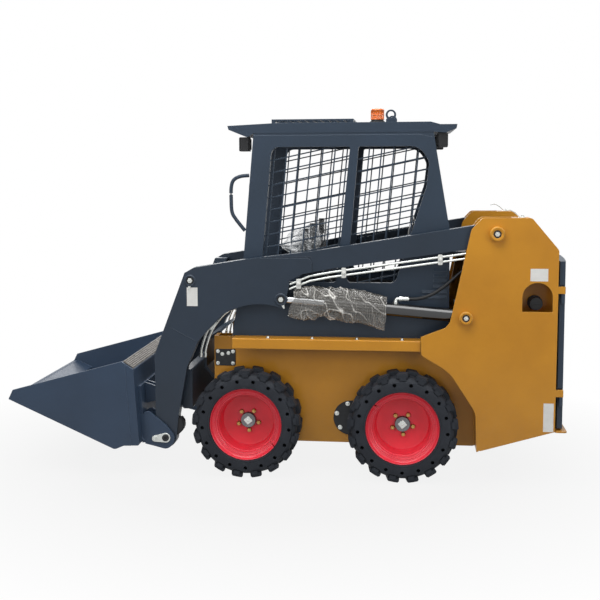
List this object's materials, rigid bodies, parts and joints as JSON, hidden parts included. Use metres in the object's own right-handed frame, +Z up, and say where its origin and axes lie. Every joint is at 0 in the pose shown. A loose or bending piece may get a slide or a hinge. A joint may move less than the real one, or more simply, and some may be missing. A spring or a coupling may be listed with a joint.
{
  "type": "skid steer loader",
  "caption": "Compact wheeled skid steer loader with caged cab, radial lift arms on rear towers, twin lift and tilt cylinders, four rigid wheels and a dirt bucket.",
  "frame": {"origin": "on the ground, under the middle of the machine's length and width as it is parked", "axes": "+X forward to the bucket, +Y to the machine's left, +Z up"},
  "size_m": [3.0076, 1.18, 1.984],
  "materials": {
    "yellow_paint": "gloss",
    "dark_paint": "satin",
    "red_paint": "gloss",
    "barrel_paint": "gloss",
    "dark_steel": "satin",
    "rod_chrome": "polished",
    "zinc_steel": "zinc plated",
    "tyre_rubber": "matte",
    "seat_vinyl": "satin",
    "black_plastic": "matte",
    "engine_iron": "rough",
    "amber_lens": "translucent",
    "wrap_film": "clear bubble film"
  },
  "bodies": {
    "chassis": {"tub": "yellow_paint", "axle_hubs": "dark_steel", "fenders": "yellow_paint", "tower_left": "yellow_paint", "tower_right": "yellow_paint", "fuel_filler": "black_plastic", "cab_sides": "dark_paint", "cab_rear_wall": "dark_paint", "cab_roof": "dark_paint", "cab_floor": "dark_paint", "cab_mesh": "dark_paint", "seat": "seat_vinyl", "controls": "black_plastic", "engine_block": "engine_iron", "beacon": "amber_lens", "work_lamps": "black_plastic", "lifting_eyes": "dark_paint", "grab_handles": "dark_paint", "side_covers": "dark_steel"},
    "hood": {"hood": "dark_paint"},
    "rear_door": {"rear_door": "dark_paint"},
    "lift_arms": {"arm_left": "dark_paint", "arm_right": "dark_paint", "arm_cross_beam": "dark_paint", "arm_pins": "dark_paint", "arm_pipes": "zinc_steel"},
    "bucket": {"bucket": "dark_paint", "quick_attach": "dark_paint"},
    "lift_barrel_left": {"lift_barrel_left": "barrel_paint", "cylinder_wrap": "wrap_film"},
    "lift_rod_left": {"lift_rod_left": "rod_chrome"},
    "tilt_barrel_left": {"tilt_barrel_left": "barrel_paint"},
    "tilt_rod_left": {"tilt_rod_left": "rod_chrome"},
    "lift_barrel_right": {"lift_barrel_right": "barrel_paint"},
    "lift_rod_right": {"lift_rod_right": "rod_chrome"},
    "tilt_barrel_right": {"tilt_barrel_right": "barrel_paint"},
    "tilt_rod_right": {"tilt_rod_right": "rod_chrome"},
    "wheel_front_left": {"tyre_front_left": "tyre_rubber", "rim_front_left": "red_paint"},
    "wheel_front_right": {"tyre_front_right": "tyre_rubber", "rim_front_right": "red_paint"},
    "wheel_rear_left": {"tyre_rear_left": "tyre_rubber", "rim_rear_left": "red_paint"},
    "wheel_rear_right": {"tyre_rear_right": "tyre_rubber", "rim_rear_right": "red_paint"}
  },
  "joints": [
    {"name": "arm_lift", "type": "hinge", "parent": "chassis", "child": "lift_arms", "pos_m": [-1.121, 0, 1.318], "axis": [0, -1, 0], "range_deg": [0, 72]},
    {"name": "bucket_dump", "type": "hinge", "parent": "lift_arms", "child": "bucket", "pos_m": [0.639, 0, 0.195], "axis": [0, 1, 0], "range_deg": [0, 134]},
    {"name": "hood_lid", "type": "hinge", "parent": "chassis", "child": "hood", "pos_m": [-0.897, 0, 1.206], "axis": [0, 1, 0], "range_deg": [0, 60]},
    {"name": "rear_door_hinge", "type": "hinge", "parent": "chassis", "child": "rear_door", "pos_m": [-1.46, 0.506, 0.74], "axis": [0, 0, -1], "range_deg": [0, 100]},
    {"name": "lift_barrel_left_pivot", "type": "hinge", "parent": "chassis", "child": "lift_barrel_left", "pos_m": [-0.968, 0.465, 0.879], "axis": [0, -1, 0], "range_deg": [0, 64.58]},
    {"name": "lift_rod_left_slide", "type": "slide", "parent": "lift_barrel_left", "child": "lift_rod_left", "axis": [0.9965, 0, 0.084], "range_m": [0, 0.5237]},
    {"name": "tilt_barrel_left_pivot", "type": "hinge", "parent": "lift_arms", "child": "tilt_barrel_left", "pos_m": [0.499, 0.378, 1.058], "axis": [0, 1, 0], "range_deg": [0, 6.7]},
    {"name": "tilt_rod_left_slide", "type": "slide", "parent": "tilt_barrel_left", "child": "tilt_rod_left", "axis": [0.329, 0, -0.9443], "range_m": [0, 0.4332]},
    {"name": "lift_barrel_right_pivot", "type": "hinge", "parent": "chassis", "child": "lift_barrel_right", "pos_m": [-0.968, -0.465, 0.879], "axis": [0, -1, 0], "range_deg": [0, 64.58]},
    {"name": "lift_rod_right_slide", "type": "slide", "parent": "lift_barrel_right", "child": "lift_rod_right", "axis": [0.9965, 0, 0.084], "range_m": [0, 0.5237]},
    {"name": "tilt_barrel_right_pivot", "type": "hinge", "parent": "lift_arms", "child": "tilt_barrel_right", "pos_m": [0.499, -0.378, 1.058], "axis": [0, 1, 0], "range_deg": [0, 6.7]},
    {"name": "tilt_rod_right_slide", "type": "slide", "parent": "tilt_barrel_right", "child": "tilt_rod_right", "axis": [0.329, 0, -0.9443], "range_m": [0, 0.4332]},
    {"name": "wheel_front_left_spin", "type": "hinge", "parent": "chassis", "child": "wheel_front_left", "pos_m": [0.19, 0.4825, 0.292], "axis": [0, 1, 0], "continuous": true},
    {"name": "wheel_front_right_spin", "type": "hinge", "parent": "chassis", "child": "wheel_front_right", "pos_m": [0.19, -0.4825, 0.292], "axis": [0, 1, 0], "continuous": true},
    {"name": "wheel_rear_left_spin", "type": "hinge", "parent": "chassis", "child": "wheel_rear_left", "pos_m": [-0.645, 0.4825, 0.292], "axis": [0, 1, 0], "continuous": true},
    {"name": "wheel_rear_right_spin", "type": "hinge", "parent": "chassis", "child": "wheel_rear_right", "pos_m": [-0.645, -0.4825, 0.292], "axis": [0, 1, 0], "continuous": true}
  ],
  "couplings": [
    {"joint": "lift_barrel_left_pivot", "follows": "arm_lift", "ratio": 0.8928},
    {"joint": "lift_rod_left_slide", "follows": "arm_lift", "m_per_rad": 0.41516},
    {"joint": "tilt_barrel_left_pivot", "follows": "bucket_dump", "ratio": 0.047767},
    {"joint": "tilt_rod_left_slide", "follows": "bucket_dump", "m_per_rad": 0.18436},
    {"joint": "lift_barrel_right_pivot", "follows": "arm_lift", "ratio": 0.8928},
    {"joint": "lift_rod_right_slide", "follows": "arm_lift", "m_per_rad": 0.41516},
    {"joint": "tilt_barrel_right_pivot", "follows": "bucket_dump", "ratio": 0.047767},
    {"joint": "tilt_rod_right_slide", "follows": "bucket_dump", "m_per_rad": 0.18436}
  ]
}
